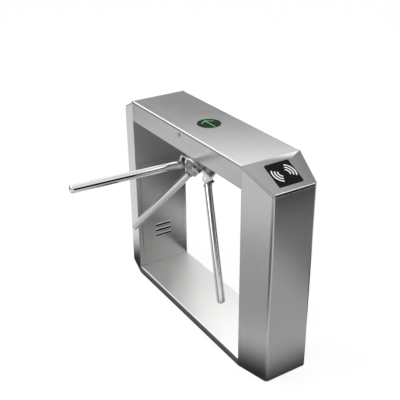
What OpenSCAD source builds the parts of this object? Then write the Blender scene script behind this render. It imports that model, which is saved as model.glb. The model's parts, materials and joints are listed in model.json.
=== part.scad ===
// Tripod turnstile with a bridge cabinet on two legs, drop-down arms and a motor-driven core.
// Origin: bottom centre. +X runs along the cabinet towards the card reader, -Y is the arm side, +Z is up.

/* [Cabinet] */
// Overall length over both end faces
body_l = 1200; // [1100:5:1400]
// Overall width of the straight-sided middle
body_w = 285; // [270:1:320]
// Height of the flat top
body_h = 950; // [920:5:1050]
// Length of the bridge between the two legs
bridge_l = 890; // [860:5:960]
// Width of each end face
end_w = 210; // [180:1:240]
// Height by which each end face stops short of the flat top: the drop of the sloped end panels
end_h = 73; // [50:1:90]
// Height of the base tray
base_h = 40; // [30:1:60]
// Height of the bridge cabinet, from its underside to the flat top
bridge_h = 100; // [95:1:120]
// Height of the lid with its side flanges
lid_h = 47; // [40:1:52]
// Thickness of the stainless sheet
sheet = 2; // [1.5:0.1:2.5]
// Outer radius of the upright bends of the end faces
corner_r = 16; // [10:1:30]
// Outer radius of the long bends of the lid
lid_r = 9; // [5:0.5:14]
// Outer radius of the long bends of the bridge and the base tray
fold_r = 6; // [4:0.5:10]
// Gap at every seam of the cabinet
seam = 0.5; // [0.3:0.1:0.8]
// Depth of the hem round the sloped ends of the lid
hem_h = 8; // [6:0.5:12]
// Gap between that hem and the leg under it
hem_gap = 2; // [1:0.1:3]
// Thickness of the foot plates
foot_t = 6; // [5:0.5:10]
// Radius of each anchor hole in a foot plate
anchor_r = 7; // [5:0.5:9]
// Distance of the anchor holes from the ends of a leg, along the cabinet
anchor_x = 32.5; // [28:0.5:36]
// Spacing of the anchor holes across the cabinet
anchor_y = 130; // [110:1:150]
// Radius of the conduit hole in a foot plate
conduit_r = 25; // [20:1:32]

/* [Doors] */
// Width of each service door
door_w = 236; // [200:1:240]
// Height of each service door
door_h = 493; // [400:1:520]
// Height of a door's lower edge above the floor
door_z = 125; // [100:1:150]
// Gap around each door
door_gap = 1; // [1:0.1:2]
// Distance of the door pivots from the door's edge
pivot_inset = 10; // [9:0.5:14]
// Radius of the door pivot pins
door_pin_r = 2.4; // [2:0.1:3]
// Length of a louvre between the centres of its round ends
louvre_l = 86; // [60:1:110]
// Outer radius of a louvre hood
louvre_r = 4.5; // [3.5:0.5:9]
// Height of the open slot below each louvre hood
louvre_slot = 11; // [6:0.5:14]
// Distance from one louvre to the next
louvre_pitch = 29.5; // [25:0.5:34]
// Height of the lowest louvre above the floor
louvre_z = 201; // [180:1:230]
// Number of louvres in a door
louvre_count = 3; // [2:1:4]
// Height of the door locks above the floor
door_lock_z = 330; // [300:1:500]

/* [Locks and indicator] */
// Radius of a cam lock's threaded barrel
lock_r = 9.5; // [8:0.5:11]
// Distance of the lid lock from the middle, towards the far leg
lid_lock_x = 20; // [0:1:60]
// Length of a lock's tongue from the plug axis
tongue_l = 26; // [22:1:30]
// Radius of the round indicator lens
lens_r = 53; // [40:1:60]
// Distance between the lamps of the direction arrow
lamp_pitch = 5.1; // [4.8:0.1:8]
// Side of the square reader plate
reader_w = 115; // [90:1:120]
// Height of the reader plate above the sloped panel
reader_t = 3; // [2:0.5:5]

/* [Hub and arms] */
// Tilt of the hub axis below the level
hub_tilt = 43.5; // [43:0.5:46]
// Angle between each arm and the hub axis
arm_cone = 45; // [44:0.5:46]
// Offset of the arms' common apex from the cabinet's middle, towards the arm side
apex_out = 22; // [18:1:26]
// Drop of the apex below the underside of the bridge
apex_drop = 59; // [56:1:66]
// Radius of the hub drum
hub_r = 82; // [80:1:85]
// Distance of the hub's front face from the apex
hub_face = 54; // [53:0.5:55]
// Overall depth of the hub drum
hub_d = 29; // [26:0.5:31]
// Distance of the arm pivots from the apex, along the arm
pivot_s = 100; // [99:0.5:102]
// Radius of an arm tube
arm_r = 17.5; // [15:0.5:18]
// Wall of an arm tube
arm_wall = 1.5; // [1:0.1:2.5]
// Distance of an arm's tip from the apex
arm_reach = 642; // [560:1:660]
// Length of the rounded end cap that shows
cap_l = 14; // [10:1:17]
// Radius of the pivot pins of the arms
pin_r = 5; // [4:0.1:6]
// Thickness of the arm root's tongue
tongue_t = 28; // [22:1:29]
// Width over the two cheeks of an arm bracket
bracket_w = 52; // [48:1:56]

/* [Core] */
// Outer radius of the chassis nose
nose_r = 50; // [46:1:52]
// Radius of the main shaft in its bearings
shaft_r = 15; // [14:0.5:16]
// Outer radius of the shaft bearings
bearing_r = 27.5; // [26:0.5:29]
// Width of the shaft bearings
bearing_w = 13; // [12:0.5:14]
// Tooth size of the gear pair
gear_m = 1.5; // [1.25:0.25:1.75]
// Teeth of the drive gear
gear_n = 60; // [54:3:60]
// Teeth of the motor pinion
pinion_n = 20; // [18:1:20]
// Radius of the drive motor
motor_r = 28; // [22:1:29]
// Radius of the lock disc
lock_disc_r = 48; // [44:1:48]
// Number of notches in the lock disc
lock_notches = 12; // [6:3:18]
// Travel of the lock bolt
bolt_travel = 6; // [4:0.5:7]

/* [Fit] */
// Radial clearance of a running fit
run_fit = 0.05; // [0.02:0.01:0.1]
// Radial clearance of a seated part
seat_fit = 0.02; // [0.01:0.01:0.04]
// End play between a moving piece and its neighbour
play = 0.3; // [0.2:0.05:0.5]
// Radius of the frame bolts
bolt_r = 4; // [3:0.5:4]

/* [Hidden] */
round_fn = 64;
far = 2 * body_l;
over = 1;

// Cabinet
leg_l = (body_l - bridge_l) / 2;
bridge_x = bridge_l / 2;
half_w = body_w / 2;
bridge_z = body_h - bridge_h;
seam_z = body_h - lid_h;
facet_a = atan((body_w - end_w) / 2 / leg_l);
slope_a = atan(end_h / leg_l);
floor_z = bridge_z + sheet;
shelf_d = 28;
foot_gap = play;
lip_rise = 9;
lip_back = 3;
lip_depth = 18;
tray_lip = 20;

// Doors
door_top = door_z + door_h;
pivot_y = door_w / 2 - pivot_inset;
pivot_x = bridge_x + 2 * sheet;
ear_t = 5;
ear_w = 12;
louvre_wall = 1.5;
door_lock_y = 100;

// Locks
plug_r = 6;
lock_head_r = lock_r + 2;
lock_head_t = 2.5;
lid_barrel_l = 20;
tongue_w = 8;
tongue_plate = 2.5;
key_slot = 1.6;
lid_lock_z = seam_z + 20;
strike_w = 10;
strike_d = lid_barrel_l + 6;
strike_z = lid_lock_z + tongue_w / 2 + 1 + sheet;
strike_y = 2 * sheet + seam - half_w;

// Indicator and reader
lens_body_r = lens_r - 3;
lens_lift = 1.2;
lens_depth = 6;
lamp_r = 2.2;
arrow_tip = 15 - lens_body_r;
arrow_end = lens_body_r - lamp_r - 1;
shaft_lamps = floor((arrow_end - arrow_tip) / lamp_pitch);
barb_lamps = floor(0.45 * shaft_lamps);
barb_a = 52;
slope_x = bridge_x + leg_l / 2;
slope_z = body_h - end_h / 2;
module_w = reader_w - 25;
module_t = 22;

// Hinges of the lid
hinge_in = 145;
hinge_x = bridge_x - hinge_in;
knuckle_r = 4.5;
knuckle_l = 18;
hinge_pin_r = 2;
leaf_w = 3 * knuckle_l + 4;
leaf_h = 22;
hinge_y = half_w + knuckle_r + play;

// Hub and arms, measured along the hub axis from the apex: positive is up into the cabinet
apex_z = bridge_z - apex_drop;
arm_phases = [0, -120, 120];
rim_t = 6;
groove_t = 3;
groove_d = 4;
rim_chamfer = 1.5;
hub_back = hub_face - hub_d;
pocket_d = hub_d - 17;
spigot_r = shaft_r - 2.5;
thread_r = spigot_r - 2.5;
nut_t = 10;
cap_r = 24;
cap_h = 24;
cap_wall = 2.5;
pivot_r = pivot_s * sin(arm_cone);
pivot_t = pivot_s * cos(arm_cone);
eye_r = 13;
cheek_r = 19;
collar_s = pivot_s + cheek_r + 1.5;
collar_l = 8;
collar_r = arm_r + 2;
tube_s = collar_s + collar_l;
tube_e = arm_reach - cap_l;
dome_h = 10;
dome_r = (arm_r * arm_r + dome_h * dome_h) / (2 * dome_h);
cap_plug_l = 12;
root_plug_l = 40;
slot_w = tongue_t + 1.2;
slot_floor = pivot_t - eye_r - 0.5;
foot_h = 12;
bracket_in = pivot_r - 25;
bracket_out = pivot_r + 23;
head_r = pin_r + 3;
head_t = 2.5;
screw_x = pivot_r - 11;
screw_y = (bracket_w + slot_w) / 4;
screw_head_r = 6.5;
screw_head_t = 8;
screw_reach = 8;
detent_r = 3;
detent_up = head_r + detent_r + 1;

// Core, along the hub axis
nose_gap = 3;
nose_front = -hub_back + nose_gap;
nose_back = 130;
seat_lip = 2;
seat_d = bearing_w + 2 * seat_lip;
cavity_r = nose_r - 12;
front_bearing = nose_front + seat_lip;
back_bearing = nose_back - seat_lip - bearing_w;
ring_t = 4.5;
ball_count = 9;
race_depth = 1.2;
gear_seat_r = shaft_r - 2.6;
disc_z = 140;
disc_t = 6;
gear_z = 152;
gear_t = 8;
plate_z = 162;
plate_t = 3;
plate_w = 60;
plate_over = 12;
gear_r = gear_m * gear_n / 2;
pinion_r = gear_m * pinion_n / 2;
motor_x = gear_r + pinion_r;
motor_h = 23;
motor_shaft_r = 4;
post_x = motor_x + motor_r + 4;
post_r = 8;
encoder_z = 170;
encoder_t = 1.5;
encoder_r = 26;
encoder_seat_r = 8;
shaft_end = 176;
base_t = 8;
base_x = post_x + 14;
base_front = -58;
base_back = 128;
notch_d = bolt_travel - 1;
bolt_gap = 2.5;
bolt_pin_r = 4;
coil_in = lock_disc_r + bolt_gap + 8;
coil_l = 22;
coil_w = 24;
cut_x = nose_r + 6;
cut_front = -40;
cut_back = 118;
chassis_bolt_x = base_x - 10;
chassis_bolts_y = [-46, 116];

// Fasteners
bolt_hole = bolt_r + play;
bolt_head_r = 6.5;
bolt_head_t = 5;
nut_h = 7;
bolt_reach = 14;
shelf_bolts_y = [-80, 0, 80];
tray_bolts_y = [-90, 90];

// Electrics
board_l = 160;
board_in = 45;
board_x = board_in - bridge_x;
board_w = 100;
terminals = [120, 10, 14];
relay = [18, 20, 16];
relay_pitch = 26;
chip = [24, 24, 3];
capacitor_r = 5;
capacitor_h = 18;
board_t = 1.6;
standoff_h = 8;
standoff_r = 3.5;
board_inset = 8;
supply = [46, 110, 200];
supply_z = bridge_z - supply[2] - 10;
vent_count = 6;
vent_h = 6;
counter = [72, 40, 52];
counter_x = 230;
counter_y = -60;
button_r = 4;
button_travel = 2;
button_in = 10;

// Geometry helpers
function unit(v) = v / norm(v);
function half_angle(p, a, b) = acos(unit(a - p) * unit(b - p)) / 2;
function bend_start(p, a, b, r) = p + unit(a - p) * r / tan(half_angle(p, a, b));
function bend_centre(p, a, b, r) = p + unit(unit(a - p) + unit(b - p)) * r / sin(half_angle(p, a, b));

// Outline through the points, with a true arc of the given radius at each corner
module outline(points, radii) {
  n = len(points);
  polygon([for (i = [0:n - 1])
    let (p = points[i], a = points[(i + n - 1) % n], b = points[(i + 1) % n])
    each (radii[i] == 0 ? [p] : [bend_start(p, a, b, radii[i]), bend_start(p, b, a, radii[i])])]);
  for (i = [0:n - 1])
    if (radii[i] > 0)
      translate(bend_centre(points[i], points[(i + n - 1) % n], points[(i + 1) % n], radii[i]))
        circle(r = radii[i], $fn = round_fn);
}

module rod(r, l) cylinder(r = r, h = l, $fn = round_fn);

module tube(r, bore, l) difference() {
  rod(r, l);
  translate([0, 0, -over]) rod(bore, l + 2 * over);
}

// A box given by its lowest and highest corners
module span(low, high) translate(low) cube(high - low);

// Extrudes a YZ outline along X, centred
module along_x(l) translate([-l / 2, 0, 0]) rotate([90, 0, 90]) linear_extrude(l) children();

// Frames: the hub axis, one arm's bracket (X radial, Z to the front), and one arm's own axis
module on_axis() translate([0, -apex_out, apex_z]) rotate([hub_tilt - 90, 0, 0]) children();
module at_arm(i) on_axis() rotate([0, 0, arm_phases[i] - 90]) rotate([180, 0, 0]) children();
module along_arm(i) at_arm(i) rotate([0, arm_cone, 0]) children();
module at_slope() translate([slope_x, 0, slope_z]) rotate([0, slope_a, 0]) children();
module far_side() mirror([1, 0, 0]) children();

// A hexagon bolt along Z with its head on top, clamping the given thickness under the head
module frame_bolt(grip) {
  translate([0, 0, -grip - nut_h - over]) rod(bolt_r, grip + nut_h + over);
  cylinder(r = bolt_head_r, h = bolt_head_t, $fn = 6);
  translate([0, 0, -grip - nut_h]) difference() {
    cylinder(r = bolt_head_r, h = nut_h, $fn = 6);
    translate([0, 0, -over]) rod(bolt_r - seat_fit, nut_h + 2 * over);
  }
}

// Where the bolts of the cabinet stand: on the leg shelves, in the tray ends and on the chassis base
module at_shelf_bolts() for (s = [-1, 1], y = shelf_bolts_y)
  translate([s * (bridge_x + shelf_d / 2), y, floor_z]) children();
module at_tray_bolts() for (s = [-1, 1], y = tray_bolts_y)
  translate([s * (bridge_x + sheet), y, base_h / 2]) rotate([0, s * 90, 0]) children();
module at_chassis_bolts() for (s = [-1, 1], y = chassis_bolts_y)
  translate([s * chassis_bolt_x, y, floor_z + base_t]) children();

/* ---- Cabinet ---- */

// Half width of a leg at a place along the cabinet, inset by a wall
function leg_w(x, t) = half_w - (x - bridge_x) * tan(facet_a) - t / cos(facet_a);
function leg_top(x, t) = body_h - (x - bridge_x) * tan(slope_a) - t / cos(slope_a);

// Upright column of a leg's outline, inset by a wall, from the given place along the cabinet
module leg_column(t, a) let (b = body_l / 2 - t) translate([0, 0, -over]) linear_extrude(body_h + 2 * over)
  outline([[a, -leg_w(a, t)], [b, -leg_w(b, t)], [b, leg_w(b, t)], [a, leg_w(a, t)]],
          [0, corner_r - t, corner_r - t, 0]);

// Everything between a floor and a plane that lies parallel under the slope
module under_slope(low, drop) translate([0, far / 2, 0]) rotate([90, 0, 0]) linear_extrude(far)
  polygon([[0, low], [body_l, low], [body_l, leg_top(body_l, drop)], [0, leg_top(0, drop)]]);

// Slab that fills a leg from facet to facet, over the given depth and height
module leg_slab(depth, low, high) translate([0, 0, low]) linear_extrude(high - low)
  polygon([for (p = [[0, -1], [depth, -1], [depth, 1], [0, 1]])
    [bridge_x + p[0], p[1] * leg_w(bridge_x + p[0], sheet + seat_fit)]]);

module bolt_way() translate([0, 0, -bolt_reach]) rod(bolt_hole, 2 * bolt_reach);

// Heights of the leg's pivot tabs, above and below the door opening
tab_z = [door_z - 2 * door_gap - ear_t, door_top + 2 * door_gap];

module door_ear(z)
  span([bridge_x + sheet / 2, pivot_y - ear_w / 2, z], [pivot_x + ear_t, pivot_y + ear_w / 2, z + ear_t]);

// Facets and end face, folded from one sheet and open at the top and towards the doorway
module leg_shell() difference() {
  intersection() {
    leg_column(0, bridge_x);
    under_slope(0, hem_h + hem_gap);
  }
  leg_column(sheet, bridge_x - over);
}

// Frame of the service door, with the shelf that carries the bridge
module leg_front() difference() {
  union() {
    difference() {
      leg_slab(sheet, 0, bridge_z);
      span([bridge_x - over, -door_w / 2 - door_gap, door_z - door_gap],
           [bridge_x + sheet + over, door_w / 2 + door_gap, door_top + door_gap]);
    }
    leg_slab(shelf_d, bridge_z - sheet, bridge_z);
    for (z = tab_z) door_ear(z);
  }
  for (z = tab_z) translate([pivot_x, pivot_y, z - door_gap])
    rod(door_pin_r + seat_fit, ear_t + 2 * door_gap);
  at_tray_bolts() bolt_way();
  at_shelf_bolts() bolt_way();
}

module near_leg_shell() color("silver") leg_shell();
module near_leg_front() color("silver") leg_front();
module far_leg_front() color("silver") far_side() leg_front();
module far_leg_shell() color("silver") far_side() leg_shell();

module foot_plate() difference() {
  intersection() {
    leg_column(sheet + foot_gap, bridge_x + sheet + foot_gap);
    span([bridge_x, -half_w, 0], [body_l / 2, half_w, foot_t]);
  }
  translate([slope_x, 0, -over]) rod(conduit_r, foot_t + 2 * over);
  for (x = [-1, 1], y = [-1, 1])
    translate([slope_x + x * (leg_l / 2 - anchor_x), y * anchor_y / 2, -over]) rod(anchor_r, foot_t + 2 * over);
}

module foot_plates() color("gray") {
  foot_plate();
  far_side() foot_plate();
}

// Rubber ring that grips the foot plate's conduit hole
module conduit_grommets() color("black") for (s = [-1, 1]) translate([s * slope_x, 0, 0]) {
  tube(conduit_r - 0.1, conduit_r - 5, foot_t);
  translate([0, 0, foot_t]) tube(conduit_r + 4, conduit_r - 5, 3);
}

module base_tray() color("silver") difference() {
  l = (bridge_l - seam) / 2;
  lip_y = half_w - tray_lip;
  union() {
    along_x(2 * l) difference() {
      outline([[-half_w, 0], [half_w, 0], [half_w, base_h], [-half_w, base_h]], [0, 0, fold_r, fold_r]);
      outline([[-half_w + sheet, -over], [half_w - sheet, -over],
               [half_w - sheet, base_h - sheet], [-half_w + sheet, base_h - sheet]],
              [0, 0, fold_r - sheet, fold_r - sheet]);
    }
    span([-l, -half_w, 0], [l, -lip_y, sheet]);
    span([-l, lip_y, 0], [l, half_w, sheet]);
    for (x = [-l, l - sheet])
      span([x, -half_w + sheet / 2, 0], [x + sheet, half_w - sheet / 2, base_h - sheet / 2]);
  }
  at_tray_bolts() bolt_way();
}

// Fixed half of a lid hinge: a leaf on the bridge with two knuckles
module hinge_half(z, knuckles) {
  span([-leaf_w / 2, half_w - sheet / 2, min(z, seam_z)], [leaf_w / 2, half_w + sheet, max(z, seam_z)]);
  for (x = knuckles)
    translate([x, hinge_y, seam_z]) rotate([0, 90, 0]) rod(knuckle_r, knuckle_l);
}

module hinge_bore() translate([-leaf_w, hinge_y, seam_z])
  rotate([0, 90, 0]) rod(hinge_pin_r + run_fit, 2 * leaf_w);

// Hook on the bridge that the lid lock's tongue turns under
module lid_strike() color("dimgray") translate([-lid_lock_x - tongue_l, strike_y, 0]) {
  span([0, 0, seam_z - lip_depth], [strike_w, sheet, strike_z]);
  span([0, 0, strike_z - sheet], [strike_w, strike_d, strike_z]);
}

module bridge_beam() color("silver") difference() {
  union() {
    along_x(bridge_l - seam) difference() {
      outline([[-half_w, bridge_z], [half_w, bridge_z], [half_w, seam_z - seam], [-half_w, seam_z - seam]],
              [fold_r, fold_r, 0, 0]);
      outline([[-half_w + sheet, floor_z], [half_w - sheet, floor_z],
               [half_w - sheet, body_h], [-half_w + sheet, body_h]],
              [fold_r - sheet, fold_r - sheet, 0, 0]);
    }
    span([-bridge_x - shelf_d, -leg_w(bridge_x + shelf_d, 3 * sheet), bridge_z],
         [bridge_x + shelf_d, leg_w(bridge_x + shelf_d, 3 * sheet), floor_z]);
    for (s = [-1, 1]) {
      span([-bridge_x + seam, s * (half_w - 1.5 * sheet) - sheet / 2, seam_z - lip_depth],
           [bridge_x - seam, s * (half_w - 1.5 * sheet) + sheet / 2, seam_z - seam]);
      span([-bridge_x + seam, s * (half_w - 1.5 * sheet - seam) - sheet / 2, seam_z - lip_depth],
           [bridge_x - seam, s * (half_w - 1.5 * sheet - seam) + sheet / 2, seam_z + lip_rise]);
    }
    for (x = [-hinge_x, hinge_x]) translate([x, 0, 0])
      difference() {
        hinge_half(seam_z - leaf_h, [-1.5 * knuckle_l - play, knuckle_l / 2 + play]);
        span([-knuckle_l / 2 - play, half_w + seam / 2, seam_z - knuckle_r - 1],
             [knuckle_l / 2 + play, far, far]);
        span([-leaf_w, -far, seam_z - seam], [leaf_w, half_w + 0.25, far]);
      }
  }
  for (x = [-hinge_x, hinge_x]) translate([x, 0, 0]) hinge_bore();
  span([-cut_x, cut_front, bridge_z - over], [cut_x, cut_back, floor_z + over]);
  at_shelf_bolts() bolt_way();
  at_chassis_bolts() bolt_way();
}

module frame_bolts() color("dimgray") {
  at_shelf_bolts() frame_bolt(2 * sheet);
  at_tray_bolts() frame_bolt(2 * sheet + seam / 2);
  at_chassis_bolts() frame_bolt(base_t + sheet);
}

/* ---- Lid ---- */

module lid_section() along_x(bridge_l - seam) difference() {
  outline([[-half_w, seam_z], [half_w, seam_z], [half_w, body_h], [-half_w, body_h]], [0, 0, lid_r, lid_r]);
  outline([[-half_w + sheet, seam_z - over], [half_w - sheet, seam_z - over],
           [half_w - sheet, body_h - sheet], [-half_w + sheet, body_h - sheet]],
          [0, 0, lid_r - sheet, lid_r - sheet]);
}

// Sloped end of the lid over one leg, with its hem; it starts inside the flat part, to join it
module lid_slope() difference() {
  intersection() {
    leg_column(0, bridge_x - over);
    under_slope(0, 0);
    span([0, -half_w, 0], [body_l, half_w, body_h]);
  }
  intersection() {
    leg_column(sheet, bridge_x - 2 * over);
    under_slope(-over, sheet);
  }
  under_slope(-over, hem_h);
}

// Moving knuckle of a lid hinge, on its leaf
module lid_knuckle() difference() {
  hinge_half(seam_z + leaf_h, [-knuckle_l / 2]);
  for (s = [-1, 1])
    span([s * (knuckle_l + play) - knuckle_l / 2 - (s < 0 ? far : 0), half_w + seam / 2, 0],
         [s * (knuckle_l + play) + knuckle_l / 2 + (s > 0 ? far : 0), far, seam_z + knuckle_r + 1]);
}

module lid() color("silver") difference() {
  union() {
    lid_section();
    lid_slope();
    far_side() lid_slope();
    for (x = [-hinge_x, hinge_x]) translate([x, 0, 0]) lid_knuckle();
  }
  for (x = [-hinge_x, hinge_x]) translate([x, 0, 0]) hinge_bore();
  translate([0, 0, body_h - 2 * sheet]) rod(lens_body_r + seat_fit, 3 * sheet);
  at_lid_lock() translate([0, 0, -over]) rod(lock_r + seat_fit, sheet + 2 * over);
  at_slope() translate([0, 0, -3 * sheet]) linear_extrude(4 * sheet) square(module_w + 2, center = true);
}

// Z points into the cabinet from the outer face
module at_lid_lock() translate([-lid_lock_x, -half_w, lid_lock_z]) rotate([-90, 0, 0]) children();
module at_door_lock() translate([bridge_x, -door_lock_y, door_lock_z]) rotate([0, 90, 0]) children();

module lock_barrel(l) difference() {
  union() {
    translate([0, 0, -lock_head_t]) rod(lock_head_r, lock_head_t);
    rod(lock_r, l);
  }
  translate([0, 0, -far / 8]) rod(plug_r + run_fit, far / 4);
}

// The plug with its key slot, and the tongue on its inner end, which points along +X
module lock_plug(l) {
  difference() {
    translate([0, 0, -lock_head_t]) rod(plug_r, l + lock_head_t + play + tongue_plate);
    span([-key_slot / 2, -plug_r * 0.7, -2 * lock_head_t], [key_slot / 2, plug_r * 0.7, lock_head_t]);
  }
  translate([0, 0, l + play]) intersection() {
    span([-plug_r, -tongue_w / 2, 0], [tongue_l, tongue_w / 2, tongue_plate]);
    translate([0, 0, -over]) rod(tongue_l, tongue_plate + 2 * over);
  }
}

module lid_lock_barrel() color("silver") at_lid_lock() lock_barrel(lid_barrel_l);
module lid_lock_plug() color("dimgray") at_lid_lock() rotate([0, 0, 90]) lock_plug(lid_barrel_l);

// Lamps of the direction arrow: a shaft and two barbs that meet at the point, towards the far leg
lamp_places = concat(
  [for (k = [0:shaft_lamps]) [arrow_tip + k * lamp_pitch, 0]],
  [for (s = [-1, 1], k = [1:barb_lamps])
    [arrow_tip + k * lamp_pitch * cos(barb_a), s * k * lamp_pitch * sin(barb_a)]]);

module at_lamps() for (p = lamp_places) translate([p[0], p[1], body_h - lens_depth / 2]) children();

module indicator_lens() color("black") difference() {
  union() {
    translate([0, 0, body_h - lens_depth]) rod(lens_body_r, lens_depth + lens_lift);
    translate([0, 0, body_h]) rod(lens_r, lens_lift);
  }
  at_lamps() rod(lamp_r + seat_fit, far);
}

module arrow_lamps() color("lime") at_lamps() rod(lamp_r, lens_depth / 2 + lens_lift + 0.3);

module indicator_board() color("darkgreen") {
  translate([0, 0, body_h - lens_depth - 8]) rod(lens_body_r - 4, 2);
  for (a = [60, 180, 300])
    rotate([0, 0, a]) translate([lens_body_r - 9, 0, body_h - lens_depth - 7]) rod(3, 7);
}

/* ---- Reader ---- */

module reader_plate() color("black") at_slope() linear_extrude(reader_t)
  outline([for (p = [[-1, -1], [1, -1], [1, 1], [-1, 1]]) p * reader_w / 2], [5, 5, 5, 5]);

module reader_module() color("dimgray") at_slope()
  span([-module_w / 2, -module_w / 2, -module_t], [module_w / 2, module_w / 2, 0]);

/* ---- Doors ---- */

// One hood: an upper half shell with round ends that stands out of the door
module louvre_hood(r) {
  translate([0, -louvre_l / 2, 0]) rotate([-90, 0, 0]) rod(r, louvre_l);
  for (s = [-1, 1]) translate([0, s * louvre_l / 2, 0]) sphere(r = r, $fn = round_fn);
}

module door() difference() {
  union() {
    span([bridge_x, -door_w / 2, door_z], [bridge_x + sheet, door_w / 2, door_top]);
    for (z = [door_z, door_top - ear_t]) door_ear(z);
    for (k = [0:louvre_count - 1]) translate([bridge_x, 0, louvre_z + k * louvre_pitch])
      intersection() {
        difference() {
          louvre_hood(louvre_r);
          louvre_hood(louvre_r - louvre_wall);
        }
        span([-2 * louvre_r, -far, 0], [sheet / 2, far, 2 * louvre_r]);
      }
  }
  for (k = [0:louvre_count - 1]) translate([bridge_x, 0, louvre_z + k * louvre_pitch])
    span([-over / 4, -louvre_l / 2, -louvre_slot], [sheet + over, louvre_l / 2, louvre_r - 2 * louvre_wall]);
  translate([pivot_x, pivot_y, 0]) rod(door_pin_r + run_fit, body_h);
  at_door_lock() translate([0, 0, -over]) rod(lock_r + seat_fit, sheet + 2 * over);
}

module near_door() color("silver") door();
module far_door() color("silver") far_side() door();

module hinge_pins() color("dimgray") {
  for (s = [-1, 1], z = [tab_z[0], door_top - ear_t])
    translate([s * pivot_x, pivot_y, z]) rod(door_pin_r, 2 * ear_t + 2 * door_gap);
  for (x = [-hinge_x, hinge_x])
    translate([x - leaf_w / 2, hinge_y, seam_z]) rotate([0, 90, 0]) rod(hinge_pin_r, leaf_w);
}

door_barrel_l = sheet + 2;
module near_door_lock_barrel() color("silver") at_door_lock() lock_barrel(door_barrel_l);
module far_door_lock_barrel() color("silver") far_side() at_door_lock() lock_barrel(door_barrel_l);
module near_door_lock_plug() color("dimgray") at_door_lock() rotate([0, 0, 180]) lock_plug(door_barrel_l);
module far_door_lock_plug() color("dimgray") far_side() at_door_lock()
  rotate([0, 0, 180]) lock_plug(door_barrel_l);

/* ---- Electrics ---- */

module power_supply() color("lightgray")
translate([sheet - body_l / 2, -supply[1] / 2, supply_z]) difference() {
  cube(supply);
  for (k = [1:vent_count])
    translate([supply[0] - sheet, supply[1] / 6, k * supply[2] / (vent_count + 1)])
      cube([2 * sheet, supply[1] * 2 / 3, vent_h]);
}

module at_standoffs() for (x = [board_inset, board_l - board_inset], y = [board_inset, board_w - board_inset])
  translate([board_x + x, y - board_w / 2, floor_z]) children();

module board_standoffs() color("gold") at_standoffs() {
  rod(standoff_r, standoff_h);
  rod(1.5, standoff_h + board_t + 2);
}

// Circuit board with its soldered parts: terminal block, relays, processor and capacitors
module control_board() color("darkgreen") {
  z = floor_z + standoff_h;
  difference() {
    span([board_x, -board_w / 2, z], [board_x + board_l, board_w / 2, z + board_t]);
    at_standoffs() rod(1.5 + seat_fit, far);
  }
  translate([board_x, 0, z + board_t / 2]) {
    translate([board_l / 8, terminals[1] / 5 - board_w / 2, 0]) cube(terminals);
    for (k = [0:2]) translate([board_l * 0.15 + k * relay_pitch, board_w * 0.18, 0]) cube(relay);
    translate([board_l * 0.375, -board_w * 0.22, 0]) cube(chip);
    for (k = [0:1]) translate([board_l * 0.76 + k * 2.8 * capacitor_r, board_w * 0.08, 0])
      rod(capacitor_r, capacitor_h);
  }
}

// Electronic visit counter that stands on the bridge floor, read with the lid open
module at_reset() translate([counter_x + counter[0] - button_in, counter_y + counter[1] / 2,
                             floor_z + counter[2] - button_in]) children();

module counter_case() color("dimgray") difference() {
  translate([counter_x, counter_y, floor_z]) cube(counter);
  translate([counter_x + button_in, counter_y + button_in, floor_z + counter[2] - sheet])
    cube([counter[0] - 3 * button_in, counter[1] - 2 * button_in, 2 * sheet]);
  at_reset() rod(button_r + run_fit, far);
}

module counter_reset_button() color("red")
  at_reset() translate([0, 0, button_travel + 1]) rod(button_r, button_in);

/* ---- Core ---- */

module chassis() color("slategray") difference() {
  union() {
    on_axis() translate([0, 0, nose_front]) rod(nose_r, nose_back - nose_front);
    span([-base_x, base_front, floor_z], [base_x, base_back, floor_z + base_t]);
    intersection() {
      on_axis() {
        for (s = [-1, 1]) translate([s * post_x, 0, 0]) rod(post_r, plate_z);
        span([-coil_in - coil_l + 2, -post_r, 0], [-coil_in - 2, post_r, disc_z + disc_t / 2 - coil_w / 2]);
      }
      span([-far, -far, floor_z], [far, far, body_h]);
    }
  }
  on_axis() {
    translate([0, 0, nose_front - over]) rod(shaft_r + 4, far);
    translate([0, 0, nose_front + seat_lip]) rod(bearing_r + seat_fit, seat_d - seat_lip);
    translate([0, 0, nose_front + seat_d]) rod(cavity_r, nose_back - nose_front - 2 * seat_d);
    translate([0, 0, nose_back - seat_d]) rod(bearing_r + seat_fit, seat_d - seat_lip);
    translate([0, 0, nose_back + 4]) rod(lock_disc_r + 3, far / 4);
  }
  at_chassis_bolts() bolt_way();
}

module at_bearings() on_axis() for (z = [front_bearing, back_bearing]) translate([0, 0, z]) children();

ball_track = (bearing_r + shaft_r) / 2;
ball_r = (bearing_r - shaft_r - 2 * ring_t) / 2 + race_depth - run_fit;

module bearing_race() translate([0, 0, bearing_w / 2])
  rotate_extrude($fn = round_fn) translate([ball_track, 0]) circle(r = ball_r + run_fit, $fn = 32);

module bearing_outer_rings() color("silver") at_bearings() difference() {
  tube(bearing_r, bearing_r - ring_t, bearing_w);
  bearing_race();
}

module bearing_inner_rings() color("silver") at_bearings() difference() {
  tube(shaft_r + ring_t, shaft_r + seat_fit, bearing_w);
  bearing_race();
}

module bearing_balls() color("white") at_bearings() for (k = [0:ball_count - 1])
  rotate([0, 0, k * 360 / ball_count]) translate([ball_track, 0, bearing_w / 2]) sphere(r = ball_r, $fn = 32);

module main_shaft() color("lightgray") on_axis() {
  translate([0, 0, -hub_face]) rod(spigot_r, hub_face - hub_back + over);
  translate([0, 0, -hub_face - nut_t - 2]) rod(thread_r, nut_t + 2 + over);
  translate([0, 0, -hub_back]) rod(shaft_r, nose_back + hub_back);
  translate([0, 0, nose_back - over]) rod(gear_seat_r, plate_z + plate_t - nose_back + over);
  translate([0, 0, plate_z]) rod(encoder_seat_r, shaft_end - plate_z);
}

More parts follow.
